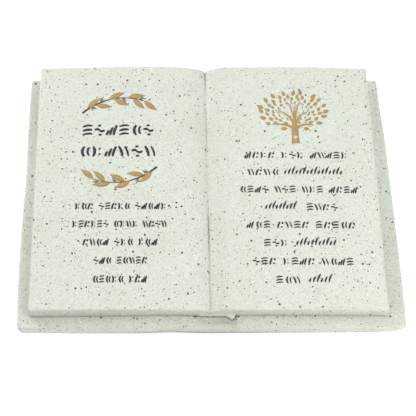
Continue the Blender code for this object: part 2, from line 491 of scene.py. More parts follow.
def page_grid(form):
    """The page surface within its rim, as rows of vertices from front to head."""
    left = PAGE_LEFT + LEFT_RIM_RADIUS
    right = PAGE_RIGHT - RIGHT_RIM_RADIUS
    front = PAGE_FRONT + PAGE_RIM_RADIUS
    head = PAGE_HEAD - PAGE_RIM_RADIUS
    rows = []
    for share_y in ALONG:
        y = front + share_y * (head - front)
        row = []
        for share_x in ACROSS:
            x = column_x(share_x, left, right)
            row.append(form.verts.new((x, y, page_surface(x, y))))
        rows.append(row)
    for row, following in zip(rows, rows[1:]):
        for index in range(len(row) - 1):
            form.faces.new((row[index], row[index + 1], following[index + 1], following[index]))
    return rows


def grid_edge(rows):
    """The grid's outer vertices in the order of the stations, with its corners repeated."""
    around = list(rows[0])
    around += [rows[0][-1]] * (CORNER_STEPS - 1)
    around += [row[-1] for row in rows]
    around += [rows[-1][-1]] * (CORNER_STEPS - 1)
    around += list(reversed(rows[-1]))
    around += [rows[-1][0]] * (CORNER_STEPS - 1)
    around += [row[0] for row in reversed(rows)]
    around += [rows[0][0]] * (CORNER_STEPS - 1)
    return around


def make_casting():
    form = bmesh.new()
    around = grid_edge(page_grid(form))
    rings = rim_rings()
    rings += wall_rings(rings[-1])
    rings += groove_rings(rings[-1])
    rings += border_rings(rings[-1])
    rings += cover_edge_rings(rings[-1])
    for ring in rings:
        outer = [form.verts.new(point) for point in ring]
        for index in range(len(outer)):
            after = (index + 1) % len(outer)
            corners = []
            for vert in (around[index], outer[index], outer[after], around[after]):
                if vert not in corners:
                    corners.append(vert)
            if len(corners) > 2:
                form.faces.new(corners)
        around = outer
    form.faces.new(list(reversed(around)))
    bmesh.ops.remove_doubles(form, verts=form.verts, dist=MM / 1000.0)
    bmesh.ops.recalc_face_normals(form, faces=form.faces)
    # Painted shade: every vertex stores how much shade is painted into the stone there
    shade_layer = form.verts.layers.float.new("painted_shade")
    for vert in form.verts:
        vert[shade_layer] = painted_shade(*vert.co)
    settle(form)
    return piece_from(form, "book_casting")


def settle(form):
    """The casting came out of its mould a little out of true: its sides aren't straight or square."""
    for vert in form.verts:
        x, y = vert.co.x, vert.co.y
        vert.co.y = y * (1.0 - OUT_OF_SQUARE * (0.5 - 0.5 * x / HALF_WIDTH))
        vert.co.y += PAGE_SET_BACK * ramp(y, BOX_LOW.y, PAGE_FRONT) * ramp(y, PAGE_HEAD, PAGE_FRONT)
        vert.co.y += ramp(y, PAGE_FRONT, BOX_LOW.y) * bells(x, FRONT_INSETS)
        vert.co.y += ramp(y, 0.0, PAGE_HEAD) * ramp(y, BOX_HIGH.y, PAGE_HEAD) * bells(x, HEAD_OUTSETS)
        vert.co.x += ramp(x, PAGE_LEFT, BOX_LOW.x) * bells(y, LEFT_INSETS)
        vert.co.x -= ramp(x, PAGE_RIGHT, BOX_HIGH.x) * bells(y, RIGHT_INSETS)
        raised = ramp(vert.co.z, COVER_THICKNESS + COVER_CROWN, COVER_THICKNESS + PAGE_RISE_FRONT)
        sag = RIGHT_PAGE_SAG * ramp(x, GUTTER_X, PAGE_RIGHT) * ramp(y, PAGE_HEAD, PAGE_FRONT)
        vert.co.z -= sag * raised


def piece_from(form, name):
    mesh = bpy.data.meshes.new(name)
    form.to_mesh(mesh)
    form.free()
    mesh.shade_smooth()
    piece = bpy.data.objects.new(name, mesh)
    bpy.context.scene.collection.objects.link(piece)
    return piece


# Painted shade, which darkens the stone where shade falls, and painted light that clears it off
# the ledge. An amount is a multiple of the share of the dark shade colour that one unit mixes in,
# and those of the cover's strips and front are multiples of the cover's own amount too. A pair of
# lengths is a place and its spread, or a start and an end.

# Painted shade in the groove round the page block, fading outward and upward
GROOVE_SHADE = 0.72
GROOVE_SHADE_OUT = 1.6 * MM
GROOVE_SHADE_UP = 0.6 * MM
# Painted shade on the cover's side strips and front border
COVER_SHADE = 0.55
STRIP_SHADE = 1.3
STRIP_LESS_SHADE = 1.2
STRIP_SLANT = 0.6
FRONT_SHADE = 0.3
FRONT_MIDDLE_SHADE = 1.2
LESS_SHADED_STRIPS = (12.0 * MM, 38.0 * MM)
MOST_SHADED_FRONT = (5.0 * MM, 60.0 * MM)
FRONT_BAND = (-65.0 * MM, -70.0 * MM)
# Painted shade on the page block's walls
WALL_SHADE = 0.42
WALL_SHADE_OUT = 0.6 * MM
# Painted shade in the dish
DISH_SHADE = 0.3
DISH_SHADE_DEPTHS = (0.3 * MM, 2.0 * MM)
# Painted shade in the gutter and in its crease
GUTTER_SHADE = 0.35
GUTTER_BAND = (GUTTER_X + 2.0 * MM, 8.0 * MM)
CREASE_SHADE = 0.7
CREASE_BAND = (GUTTER_X, 2.0 * MM)
CREASE_SHADE_RUN = (30.0 * MM, 0.0)
ABOVE_COVER = (0.0, 3.0 * MM)
BELOW_PAGES = (0.2 * MM, 1.2 * MM)
# Painted shade at the foot of the cover's front face
FOOT_SHADE = 10.5
FOOT_SHADE_UP = 1.3 * MM
FOOT_BAND = (-5.0 * MM, 45.0 * MM)
# Painted light: the ledge's face is kept clear of the painted shade
LEDGE_LIGHT = 0.8
LEDGE_LIGHT_FOOT = (0.0, 0.35 * MM)
LEDGE_LIGHT_TOP = (4.0 * MM, 3.0 * MM)
# Painted shadow under the ledge, painted shade in the seam over it and in the pits beside it
LEDGE_SHADOW = 4.6
LEDGE_SHADOW_BACK = 0.12 * MM
LEDGE_SHADOW_WIDTH = 0.30 * MM
SEAM_SHADE = 3.0
SEAM_BAND = (2.05 * MM, 0.24 * MM)
PIT_SHADE = 4.0
ON_COVER = (0.4 * MM, 0.0)
# Two patches of painted shade in the dish, each given by its place and spread across, its place and spread
# out from the wall, and its amount
DISH_SHADE_PATCHES = (
    ((-5.6 * MM, 3.6 * MM), (2.8 * MM, 1.8 * MM), 1.4),
    ((10.4 * MM, 1.9 * MM), (5.0 * MM, 2.2 * MM), 1.3),
)


def cover_shade(x, y):
    """Painted shade on the cover: its front border is darkest at its middle, and its side strips towards
    their ends.
    """
    strips = STRIP_SHADE - STRIP_LESS_SHADE * bell(y, *LESS_SHADED_STRIPS) - STRIP_SLANT * x * y / HALF_WIDTH**2
    front = FRONT_SHADE + FRONT_MIDDLE_SHADE * bell(x, *MOST_SHADED_FRONT)
    return COVER_SHADE * between(ramp(y, *FRONT_BAND), strips, front)


def wall_shade(x, beyond):
    """Painted shade on the page block's walls, darker towards the left."""
    return WALL_SHADE * (1.0 - x / HALF_WIDTH) ** 2 * bell(beyond, 0.0, WALL_SHADE_OUT)


# Painted shade in the dish, darker where it lies deeper below the plain cover
def dish_shade(x, z):
    depth = ramp(plain_cover_height(x) - z, *DISH_SHADE_DEPTHS)
    return DISH_SHADE * depth * bell(x, SPINE_X, SPINE_HALF_WIDTH)


def gutter_shade(x, y, above):
    """Painted shade in the gutter, and in its crease towards the foot."""
    gutter = GUTTER_SHADE * bell(x, *GUTTER_BAND)
    crease = CREASE_SHADE * bell(x, *CREASE_BAND) * ramp(y, *CREASE_SHADE_RUN)
    return (gutter + crease) * ramp(above, *ABOVE_COVER)


def foot_shade(x, y, z):
    """Painted shade at the foot of the cover's front face."""
    low = math.exp(-z / FOOT_SHADE_UP) * bell(x, *FOOT_BAND)
    return FOOT_SHADE * low * ramp(y, PAGE_FRONT, BOX_LOW.y)


def on_ledge(x):
    return min(1.0, ledge_edge(x) / LEDGE_REACH)


def spine_shade(x, beyond, above):
    """Painted shadow under the ledge, painted shade over it and in the pits beside it, and two patches of
    painted shade in the dish.
    """
    edge = ledge_edge(x) - LEDGE_SHADOW_BACK
    under = LEDGE_SHADOW * ramp(ledge_edge(x), 0.0, LEDGE_REACH) * bell(beyond, edge, LEDGE_SHADOW_WIDTH)
    pits = PIT_SHADE * sum(bell(x, pit_x, PIT_RADIUS) * bell(beyond, 0.0, reach) for pit_x, reach in PITS)
    shade_patches = sum(amount * bell(x, *across) * bell(beyond, *out) for across, out, amount in DISH_SHADE_PATCHES)
    seam = SEAM_SHADE * on_ledge(x) * bell(above, *SEAM_BAND)
    return (under + pits + shade_patches) * ramp(above, *ON_COVER) + seam


def painted_shade(x, y, z):
    """How much painted shade darkens the stone at a place. The pages get the least."""
    beyond = max(PAGE_LEFT - x, x - PAGE_RIGHT, PAGE_FRONT - y, y - PAGE_HEAD, 0.0)
    above = max(z - cover_height(x, y), 0.0)
    low = cover_shade(x, y) + wall_shade(x, beyond) + dish_shade(x, z)
    low *= ramp(page_height(x, y) - z, *BELOW_PAGES)
    # Painted shade in the groove round the page block
    low += GROOVE_SHADE * math.exp(-beyond / GROOVE_SHADE_OUT - above / GROOVE_SHADE_UP)
    # Painted light: between the ledge's foot and its top, the painted shade of the cover and walls is
    # taken away
    wear_and_light = LEDGE_LIGHT * on_ledge(x) * ramp(above, *LEDGE_LIGHT_FOOT) * ramp(above, *LEDGE_LIGHT_TOP)
    shade_amount = gutter_shade(x, y, above) + foot_shade(x, y, z) + spine_shade(x, beyond, above)
    return low * (1.0 - wear_and_light) + shade_amount


# Print: a film of ink that stands hardly proud of the stone

INK_PROUD = 0.045 * MM
INK_SUNK = 0.15 * MM
DARK_INK, TAN_INK, TWIG_INK, SPROUT_INK, BARE = range(5)


def lay_film(form, sides, ink):
    """Lays one flat shape of ink on the page: a closed sliver from just above the stone to within it.

    sides are the shape's pairs of left and right points, (x, y), from one end to the other.
    """
    rings = []
    for left, right in sides:
        corners = ((left, INK_PROUD), (right, INK_PROUD), (right, -INK_SUNK), (left, -INK_SUNK))
        ring = []
        for (x, y), lift in corners:
            ring.append(form.verts.new((x, y, page_surface(x, y) + lift)))
        rings.append(ring)
    faces = [form.faces.new(rings[0]), form.faces.new(list(reversed(rings[-1])))]
    for ring, following in zip(rings, rings[1:]):
        for index in range(4):
            after = (index + 1) % 4
            faces.append(form.faces.new((ring[after], ring[index], following[index], following[after])))
    for face in faces:
        face.material_index = ink


def ribbon(route, widths):
    """The two sides of a stroke along route, a list of (x, y), that is widths wide at its points."""
    sides = []
    for index, (x, y) in enumerate(route):
        before = route[max(index - 1, 0)]
        after = route[min(index + 1, len(route) - 1)]
        length = math.hypot(after[0] - before[0], after[1] - before[1])
        across_x = -(after[1] - before[1]) / length * widths[index] / 2.0
        across_y = (after[0] - before[0]) / length * widths[index] / 2.0
        sides.append(((x + across_x, y + across_y), (x - across_x, y - across_y)))
    return sides


def curve(start, bend, end, steps):
    """Points of an arc-like curve from start to end, drawn towards bend."""
    points = []
    for step in range(steps + 1):
        t = step / steps
        near = (1.0 - t) ** 2
        pull = 2.0 * t * (1.0 - t)
        points.append(tuple(near * a + pull * b + t * t * c for a, b, c in zip(start, bend, end)))
    return points


def line(start, end, bow, steps=5):
    """A stroke's route from start to end, bowed to its left by a share of its length."""
    bend = (
        (start[0] + end[0]) / 2.0 - 2.0 * bow * (end[1] - start[1]),
        (start[1] + end[1]) / 2.0 + 2.0 * bow * (end[0] - start[0]),
    )
    return curve(start, bend, end, steps)


def point_at(start, angle, length):
    """The point that lies a length away from start, along an angle."""
    return start[0] + length * math.cos(angle), start[1] + length * math.sin(angle)


def heading(route, place):
    """The angle in which a route runs on from one of its points."""
    return math.atan2(route[place + 1][1] - route[place][1], route[place + 1][0] - route[place][0])


LEAF_STEPS = 9
LEAF_TIP = 0.04
LEAF_FULLNESS = 0.85


def leaf(root, angle, length, width, lean):
    """A pointed leaf from its root, out along angle, that leans to one side by a share of its length."""
    cos, sin = math.cos(angle), math.sin(angle)
    spine = []
    widths = []
    for step in range(LEAF_STEPS + 1):
        t = step / LEAF_STEPS
        x = length * t
        y = lean * length * math.sin(math.pi * t)
        spine.append((root[0] + x * cos - y * sin, root[1] + x * sin + y * cos))
        widths.append(max(LEAF_TIP * width, width * math.sin(math.pi * t**LEAF_FULLNESS)))
    return ribbon(spine, widths)


# The two sprigs. The twig's bend and tip are shares of the sprig's length. A leaf or a sprout is
# given by its step along the twig and by how far it turns from the twig, in radians, and a
# sprout's blade by its turn, its length and its width.
SPRIG_LENGTH = 43.8 * MM
SPRIG_ROOTS = ((-68.6 * MM, 43.0 * MM, False), (-28.3 * MM, 9.8 * MM, True))
TWIG_STEPS = 24
TWIG_BEND = (0.37, 0.325)
TWIG_TIP = (0.80, 0.15)
TWIG_THINNING = 0.6
TWIG_WIDTHS = (1.25 * MM, 0.30 * MM)
UPPER_LEAF = (9.8 * MM, 0.05)
LOWER_LEAF = (9.3 * MM, -0.03)
SPRIG_LEAF_WIDTH = 0.335
SPRIG_LEAVES = ((2, 0.18), (5, -0.62), (10, 0.20), (12, -0.64), (17, 0.22), (19, -0.60), (23, -0.34))
SPROUTS = ((3, -0.85), (7, 0.75), (15, -0.95), (21, 0.45))
BLADES = ((-0.34, 2.6 * MM, 0.40 * MM), (0.0, 3.9 * MM, 0.62 * MM), (0.34, 3.0 * MM, 0.46 * MM))
BLADE_SWELL = (0.5, 0.8, 1.0, 1.2, 1.0, 0.4)
BLADE_BOW = 0.06


def lay_sprig(form, root, turned):
    """A leafy twig from its root, arched over a row of the inscription, or turned to cup it from below."""
    way = -1.0 if turned else 1.0

    def lay(sides, ink):
        placed = []
        for pair in sides:
            placed.append(tuple((root[0] + way * x, root[1] + way * y) for x, y in pair))
        lay_film(form, placed, ink)

    bend = tuple(share * SPRIG_LENGTH for share in TWIG_BEND)
    tip = tuple(share * SPRIG_LENGTH for share in TWIG_TIP)
    twig = curve((0.0, 0.0), bend, tip, TWIG_STEPS)
    thinned = [(step / TWIG_STEPS) ** TWIG_THINNING for step in range(TWIG_STEPS + 1)]
    lay(ribbon(twig, [between(share, *TWIG_WIDTHS) for share in thinned]), TWIG_INK)
    for place, turn in SPRIG_LEAVES:
        size, lean = UPPER_LEAF if turn > 0.0 else LOWER_LEAF
        lay(leaf(twig[place], heading(twig, place) + turn, size, SPRIG_LEAF_WIDTH * size, lean), TAN_INK)
    for place, turn in SPROUTS:
        for spread, length, width in BLADES:
            end = point_at(twig[place], heading(twig, place) + turn + spread, length)
            blade = line(twig[place], end, BLADE_BOW)
            lay(ribbon(blade, [share * width for share in BLADE_SWELL]), SPROUT_INK)


# The tree, laid out from the middle of its trunk's foot. A limb is given by its step up the trunk,
# its reach, its rise, its width, and how much larger it is on the right than on the left. A ring of
# leaves is given by its share of the crown's size and by the length of its leaves.
TREE_FOOT = (46.8 * MM, 24.0 * MM)
TRUNK_STEPS = 12
TRUNK_BEND = (-0.2 * MM, 8.0 * MM)
TRUNK_TOP = (0.3 * MM, 22.5 * MM)
TRUNK_WIDTHS = (4.6, 4.2, 4.0, 3.8, 3.8, 3.9, 3.7, 2.9, 2.1, 1.6, 1.3, 0.9, 0.4)
HEART_RISE = 3.8 * MM
HEART_SIZE = 1.6 * MM
HEART_STEPS = 12
LIMB_STEPS = 12
LIMBS = ((6, 11.4, 2.0, 2.0, -0.084), (7, 7.8, 8.2, 1.65, -0.024), (8, 3.8, 12.4, 1.3, 0.036))
LIMB_TAPER = 0.72
LIMB_ROOT_DROP = 1.2 * MM
LIMB_BEND_REACH = 0.30
LIMB_BEND_RISE = 0.62
LIMB_BEND_LIFT = 1.6
TWIGLETS = ((6, 1.0), (9, -1.0))
TWIGLET_LENGTH = 2.3 * MM
TWIGLET_TURN = 0.75
TWIGLET_BOW = 0.08
TWIGLET_WIDTHS = (0.42, 0.42, 0.42, 0.42, 0.42, 0.2)
CROWN_PLACE = (-0.4 * MM, 19.9 * MM)
CROWN_HALF_WIDTH = 18.7 * MM
CROWN_HALF_HEIGHT = 12.1 * MM
CROWN_LOWEST = 8.0 * MM
LEAF_RINGS = ((0.97, 3.9), (0.79, 3.3), (0.62, 2.5), (0.46, 1.9), (0.31, 1.5))
LEAVES_PER_RING = 20
TREE_LEAF_WIDTH = 0.57
TREE_LEAF_LEAN = 0.04
LEAF_FAN_RISE = 9.0 * MM
TURN_DRIFT = 4.0
LEVEL_DRIFT = (-0.035, 0.03)
LENGTH_DRIFT = (0.88, 1.08)
ANGLE_DRIFT = 0.35
LEAF_CLEARANCE = 0.31


def lay_tree(form, foot):
    """A spreading tree with a small heart left bare in its trunk."""
    bend = (foot[0] + TRUNK_BEND[0], foot[1] + TRUNK_BEND[1])
    top = (foot[0] + TRUNK_TOP[0], foot[1] + TRUNK_TOP[1])
    trunk = curve(foot, bend, top, TRUNK_STEPS)
    lay_film(form, ribbon(trunk, [width * MM for width in TRUNK_WIDTHS]), TAN_INK)
    for side in (-1.0, 1.0):
        lay_film(form, half_heart((foot[0], foot[1] + HEART_RISE), side), BARE)
    wood = list(trunk)
    for limb in LIMBS:
        for side in (-1.0, 1.0):
            wood += lay_limb(form, trunk, limb, side)
    lay_crown(form, foot, wood)


def half_heart(centre, side):
    """One half of a heart, between its middle line and its edge."""
    sides = []
    for step in range(HEART_STEPS + 1):
        t = math.pi * (0.04 + 0.96 * step / HEART_STEPS)
        x = 0.80 * math.sin(t) ** 3
        y = 0.65 * math.cos(t) - 0.25 * math.cos(2.0 * t) - 0.1 * math.cos(3.0 * t)
        middle = (centre[0], centre[1] + HEART_SIZE * min(0.30, y))
        edge = (centre[0] + side * HEART_SIZE * x, centre[1] + HEART_SIZE * y)
        sides.append((middle, edge) if side > 0.0 else (edge, middle))
    return sides


def lay_limb(form, trunk, limb, side):
    """A limb on one side of the trunk that tapers outward, with two small twigs. Returns its points."""
    start, reach, rise, width, uneven = limb
    x, y = trunk[start]
    size = (1.0 + side * uneven) * MM
    bend = (x + side * LIMB_BEND_REACH * reach * MM, y + (LIMB_BEND_RISE * rise + LIMB_BEND_LIFT) * MM)
    end = (x + side * reach * size, y + rise * size)
    route = curve((x, y - LIMB_ROOT_DROP), bend, end, LIMB_STEPS)
    tapered = [1.0 - LIMB_TAPER * step / LIMB_STEPS for step in range(LIMB_STEPS + 1)]
    lay_film(form, ribbon(route, [width * MM * share for share in tapered]), TAN_INK)
    wood = list(route)
    for place, turn in TWIGLETS:
        tip = point_at(route[place], heading(route, place) + turn * side * TWIGLET_TURN, TWIGLET_LENGTH)
        twiglet = line(route[place], tip, TWIGLET_BOW * turn)
        lay_film(form, ribbon(twiglet, [share * MM for share in TWIGLET_WIDTHS]), TAN_INK)
        wood.append(tip)
    return wood


def lay_crown(form, foot, wood):
    """Rings of separate leaves in an oval crown, left out where wood is in their way."""
    chance = random.Random(11)
    for ring, (level, length) in enumerate(LEAF_RINGS):
        innermost = ring == len(LEAF_RINGS) - 1
        for index in range(LEAVES_PER_RING):
            even = (index + 0.5 * (ring % 2)) * 360.0 / LEAVES_PER_RING
            turn = math.radians(even + chance.uniform(-TURN_DRIFT, TURN_DRIFT))
            share = level + chance.uniform(*LEVEL_DRIFT)
            x = foot[0] + CROWN_PLACE[0] + CROWN_HALF_WIDTH * share * math.cos(turn)
            y = foot[1] + CROWN_PLACE[1] + CROWN_HALF_HEIGHT * share * math.sin(turn)
            size = length * chance.uniform(*LENGTH_DRIFT) * MM
            too_low = y - foot[1] < CROWN_LOWEST
            crowded = min(math.hypot(x - a, y - b) for a, b in wood) < LEAF_CLEARANCE * size
            if too_low or crowded or (innermost and index % 2 == 1):
                continue
            angle = math.atan2(y - foot[1] - LEAF_FAN_RISE, x - foot[0])
            angle += chance.uniform(-ANGLE_DRIFT, ANGLE_DRIFT)
            root = point_at((x, y), angle, -0.5 * size)
            lay_film(form, leaf(root, angle, size, TREE_LEAF_WIDTH * size, TREE_LEAF_LEAN), TAN_INK)


# The inscription is rows of marks that are no letters: strokes side by side or one over another.
# Each stroke is given in a cell one unit wide and high, as its two ends, its bow and its thickness.
MARKS = (
    (
        (0.06, 0.98, 0.38, 0.02, 0.06, 0.24),
        (0.56, 0.98, 0.88, 0.02, 0.06, 0.18),
    ),
    (
        (0.06, 0.84, 0.94, 0.94, 0.10, 0.19),
        (0.06, 0.44, 0.94, 0.54, 0.10, 0.23),
        (0.06, 0.06, 0.94, 0.16, 0.10, 0.19),
    ),
    (
        (0.10, 0.02, 0.44, 0.98, 0.06, 0.26),
        (0.60, 0.10, 0.66, 0.32, 0.0, 0.26),
        (0.70, 0.62, 0.82, 0.92, 0.0, 0.26),
    ),
    (
        (0.50, 0.98, 0.50, 0.02, -0.20, 0.25),
        (0.90, 0.90, 0.90, 0.10, -0.18, 0.20),
    ),
    (
        (0.04, 0.02, 0.22, 0.50, 0.05, 0.22),
        (0.34, 0.02, 0.58, 0.78, 0.05, 0.23),
        (0.66, 0.02, 0.96, 0.98, 0.05, 0.24),
    ),
    (
        (0.04, 0.52, 0.50, 0.52, 0.22, 0.22),
        (0.46, 0.52, 0.96, 0.52, -0.22, 0.22),
        (0.34, 0.92, 0.62, 0.98, 0.0, 0.20),
        (0.40, 0.06, 0.68, 0.10, 0.0, 0.20),
    ),
    (
        (0.12, 0.98, 0.12, 0.02, 0.14, 0.25),
        (0.60, 0.80, 0.72, 0.72, 0.0, 0.24),
        (0.60, 0.28, 0.72, 0.20, 0.0, 0.24),
    ),
)
MARK_SWELL = (0.64, 0.93, 1.02, 1.02, 0.93, 0.56)
MARK_SHARE = 0.90
MARK_START = 0.05
WORD_GAP = 0.66
ROW_MARGIN = 0.1
FLOURISH_PITCH = 0.50
FLOURISH_RISES = (0.62, 0.88, 1.22)
FLOURISH_LEAN = 0.42
FLOURISH_BOW = 0.07
FLOURISH_DROP = 0.30
FLOURISH_START = 0.40
FLOURISH_LEAST = 6
FLOURISH_SWELL = (0.10, 0.22, 0.28, 0.26, 0.18, 0.07)


def lay_mark(form, mark, left, low, width, height):
    for x0, y0, x1, y1, bow, thick in mark:
        start = (left + width * x0, low + height * y0)
        end = (left + width * x1, low + height * y1)
        widths = [thick * height * share for share in MARK_SWELL]
        lay_film(form, ribbon(line(start, end, bow), widths), DARK_INK)


def lay_words(form, chance, left, middle, width, height, words):
    """Words of separate marks that fill a width, with gaps of two thirds of a mark between words."""
    step = width / (sum(words) + WORD_GAP * (len(words) - 1) - 2.0 * ROW_MARGIN)
    x = left - ROW_MARGIN * step
    last = None
    for count in words:
        for _ in range(count):
            choice = chance.choice([index for index in range(len(MARKS)) if index != last])
            start = x + MARK_START * step
            lay_mark(form, MARKS[choice], start, middle - height / 2.0, MARK_SHARE * step, height)
            last = choice
            x += step
        x += WORD_GAP * step


def lay_flourish(form, left, middle, width, height):
    """A flowing row of leaning, swelled strokes in threes, each three growing taller."""
    count = max(FLOURISH_LEAST, round(width / (FLOURISH_PITCH * height)))
    step = width / count
    low = middle - FLOURISH_DROP * height
    for index in range(count):
        rise = FLOURISH_RISES[index % 3] * height
        x = left + (index + FLOURISH_START) * step
        route = line((x, low), (x + FLOURISH_LEAN * rise, low + rise), FLOURISH_BOW)
        lay_film(form, ribbon(route, [share * height for share in FLOURISH_SWELL]), DARK_INK)


# Rows of the inscription, from the top down at one pitch. A row is given in millimetres by its left
# end and its width, with the number of marks in each word.
NAME_HEIGHT = 6.4 * MM
ROW_HEIGHT = 3.9 * MM
ROW_PITCH = 10.25 * MM
LEFT_FIRST_ROW = -13.3 * MM
RIGHT_FIRST_ROW = 16.9 * MM
NAME_ROWS = ((-68.2, 32.1, 38.0), (-69.7, 19.2, 40.6))
LEFT_ROWS = (
    (-70.9, 47.4, (3, 5, 5)),
    (-72.0, 48.6, (6, 4, 4)),
    (-66.2, 38.0, (4, 3, 3)),
    (-60.7, 27.4, (3, 5)),
    (-60.7, 27.2, (5, 3)),
)
RIGHT_ROWS = (
    (("words", 18.8, 55.6, (4, 3, 5)),),
    (("words", 20.0, 16.4, (4,)), ("hand", 39.0, 32.0, ())),
    (("words", 15.5, 62.6, (4, 3, 3, 4)),),
    (("hand", 28.0, 16.6, ()), ("words", 50.4, 16.4, (4,))),
    (("words", 18.5, 57.0, (3, 4, 5)),),
    (("words", 27.0, 12.3, (3,)), ("hand", 43.2, 21.4, ())),
    (("words", 20.8, 52.0, (3, 4, 4)),),
    (("words", 32.3, 12.3, (3,)), ("hand", 48.6, 12.0, ())),
)


def make_left_print():
    form = bmesh.new()
    chance = random.Random(3)
    for x, y, turned in SPRIG_ROOTS:
        lay_sprig(form, (x, y), turned)
    for left, y, width in NAME_ROWS:
        lay_words(form, chance, left * MM, y * MM, width * MM, NAME_HEIGHT, (6,))
    for index, (left, width, words) in enumerate(LEFT_ROWS):
        y = LEFT_FIRST_ROW - index * ROW_PITCH
        lay_words(form, chance, left * MM, y, width * MM, ROW_HEIGHT, words)
    return finish_print(form, "left_page_print")


def make_right_print():
    form = bmesh.new()
    chance = random.Random(5)
    lay_tree(form, TREE_FOOT)
    for index, row in enumerate(RIGHT_ROWS):
        y = RIGHT_FIRST_ROW - index * ROW_PITCH
        for kind, left, width, words in row:
            if kind == "hand":
                lay_flourish(form, left * MM, y, width * MM, ROW_HEIGHT)
            else:
                lay_words(form, chance, left * MM, y, width * MM, ROW_HEIGHT, words)
    return finish_print(form, "right_page_print")


def finish_print(form, name):
    bmesh.ops.recalc_face_normals(form, faces=form.faces)
    settle(form)
    return piece_from(form, name)


# Materials


class Value:
    """A shader value. Python's operators on it add Math nodes."""

    def __init__(self, sheet, socket):
        self.sheet = sheet
        self.socket = socket

    def __add__(self, other):
        return self.sheet.maths("ADD", self, other)

    def __radd__(self, other):
        return self.sheet.maths("ADD", other, self)

    def __sub__(self, other):
        return self.sheet.maths("SUBTRACT", self, other)

    def __rsub__(self, other):
        return self.sheet.maths("SUBTRACT", other, self)

    def __mul__(self, other):
        return self.sheet.maths("MULTIPLY", self, other)

    def __rmul__(self, other):
        return self.sheet.maths("MULTIPLY", other, self)

    def __truediv__(self, other):
        return self.sheet.maths("DIVIDE", self, other)

    def __rtruediv__(self, other):
        return self.sheet.maths("DIVIDE", other, self)

    def __lt__(self, other):
        return self.sheet.maths("LESS_THAN", self, other)

    def __gt__(self, other):
        return self.sheet.maths("GREATER_THAN", self, other)


class Finish:
    """A material's sheet of nodes, with its Principled shader at the end."""

    def __init__(self, name, roughness, specular):
        self.material = bpy.data.materials.new(name)
        self.material.use_nodes = True
        self.tree = self.material.node_tree
        self.shader = self.tree.nodes["Principled BSDF"]
        self.shader.inputs["Metallic"].default_value = 0.0
        self.shader.inputs["Roughness"].default_value = roughness
        self.shader.inputs["Specular IOR Level"].default_value = specular

    def feed(self, socket, value):
        if isinstance(value, Value):
            self.tree.links.new(value.socket, socket)
        else:
            socket.default_value = value

    def node(self, kind, settings, sockets):
        """A node of a kind, with its settings first and then the values or links of its sockets."""
        made = self.tree.nodes.new(kind)
        for name, setting in settings.items():
            setattr(made, name, setting)
        for name, value in sockets.items():
            self.feed(made.inputs[name], value)
        return made

    def take(self, made, output=0):
        return Value(self, made.outputs[output])

    def maths(self, operation, first, second):
        return self.take(self.node("ShaderNodeMath", {"operation": operation}, {0: first, 1: second}))

    def limit(self, value):
        return self.take(self.node("ShaderNodeClamp", {}, {"Value": value}))

    def blend(self, share, first, second):
        """The colour first, turned into the colour second by a share of 0 to 1."""
        mix = self.node("ShaderNodeMix", {"data_type": "RGBA"}, {"Factor": share})
        self.feed(mix.inputs[6], first)
        self.feed(mix.inputs[7], second)
        return self.take(mix, 2)

    def grain(self, place, length, detail=2.0):
        """Noise of 0 to 1 whose features are about a length across."""
        settings = {"Vector": place, "Scale": 1.0 / length, "Detail": detail}
        return self.take(self.node("ShaderNodeTexNoise", {}, settings))

    def show(self, colour, roughness, height, depth):
        """Feeds the shader: a colour, a roughness, and a height that stands for a real depth in metres."""
        self.feed(self.shader.inputs["Base Color"], colour)
        self.feed(self.shader.inputs["Roughness"], roughness)
        bump = self.node("ShaderNodeBump", {}, {"Height": height, "Distance": depth, "Strength": 1.0})
        self.feed(self.shader.inputs["Normal"], self.take(bump))
        return self.material


def colour(red, green, blue):
    """A colour given as it shows on a screen, 0 to 255, as linear light."""
    linear = []
    for level in (red, green, blue):
        share = level / 255.0
        linear.append(share / 12.92 if share <= 0.04045 else ((share + 0.055) / 1.055) ** 2.4)
    return (*linear, 1.0)


PALE_STONE = colour(222, 227, 216)
GREY_STONE = colour(190, 195, 183)
PALE_RESIN = colour(243, 247, 238)
WARM_STONE = colour(203, 206, 190)
RED_SPECK = colour(80, 22, 18)
BLACK_SPECK = colour(34, 31, 27)
OLIVE_SPECK = colour(104, 98, 66)
# The dark colour of the painted shade, and how much of it one unit of painted shade mixes in
SHADE_TINT = colour(112, 112, 92)
SHADE_SHARE = 0.15

# Specks from faint to bold. Each size has a cell, a radius, the share of cells with a speck, and
# the strengths of its pale ring and of its own colour.
SPECK_SIZES = (
    (1.40 * MM, 0.36 * MM, 0.60, 0.0, 0.34),
    (1.95 * MM, 0.40 * MM, 0.45, 0.40, 0.80),
    (3.20 * MM, 0.56 * MM, 0.66, 0.50, 0.92),
)
SPECK_EDGE = 0.16
SPECK_RING = 2.6
SPECK_CROWDING = 4.0
SHAKE_LENGTH = 0.9 * MM
SHAKE_REACH = 0.8 * MM
STONE_RELIEF = 0.07 * MM


def speck_layer(finish, place, cell, radius, share, crowd):
    """Specks scattered through the stone, at most one in a cell: a mask, one of a ring wider, and a tint.

    share is how many cells hold a speck, and crowd, a value about 1, gathers them in places.
    """
    cells = {"Vector": place, "Scale": 1.0 / cell}
    scatter = finish.node("ShaderNodeTexVoronoi", {"feature": "F1"}, cells)
    draw = finish.node("ShaderNodeSeparateColor", {}, {"Color": finish.take(scatter, 1)})
    present = finish.take(draw, 0) < (crowd * share)
    size = radius * (0.55 + 0.75 * finish.take(draw, 1))
    nearness = (size - finish.take(scatter, 0) * cell) / (SPECK_EDGE * radius)
    mask = finish.limit(nearness) * present
    ring = finish.limit(nearness + SPECK_RING) * present
    tint = finish.blend(finish.take(draw, 2) > 0.40, RED_SPECK, BLACK_SPECK)
    tint = finish.blend(finish.take(draw, 2) > 0.80, tint, OLIVE_SPECK)
    return mask, ring, tint


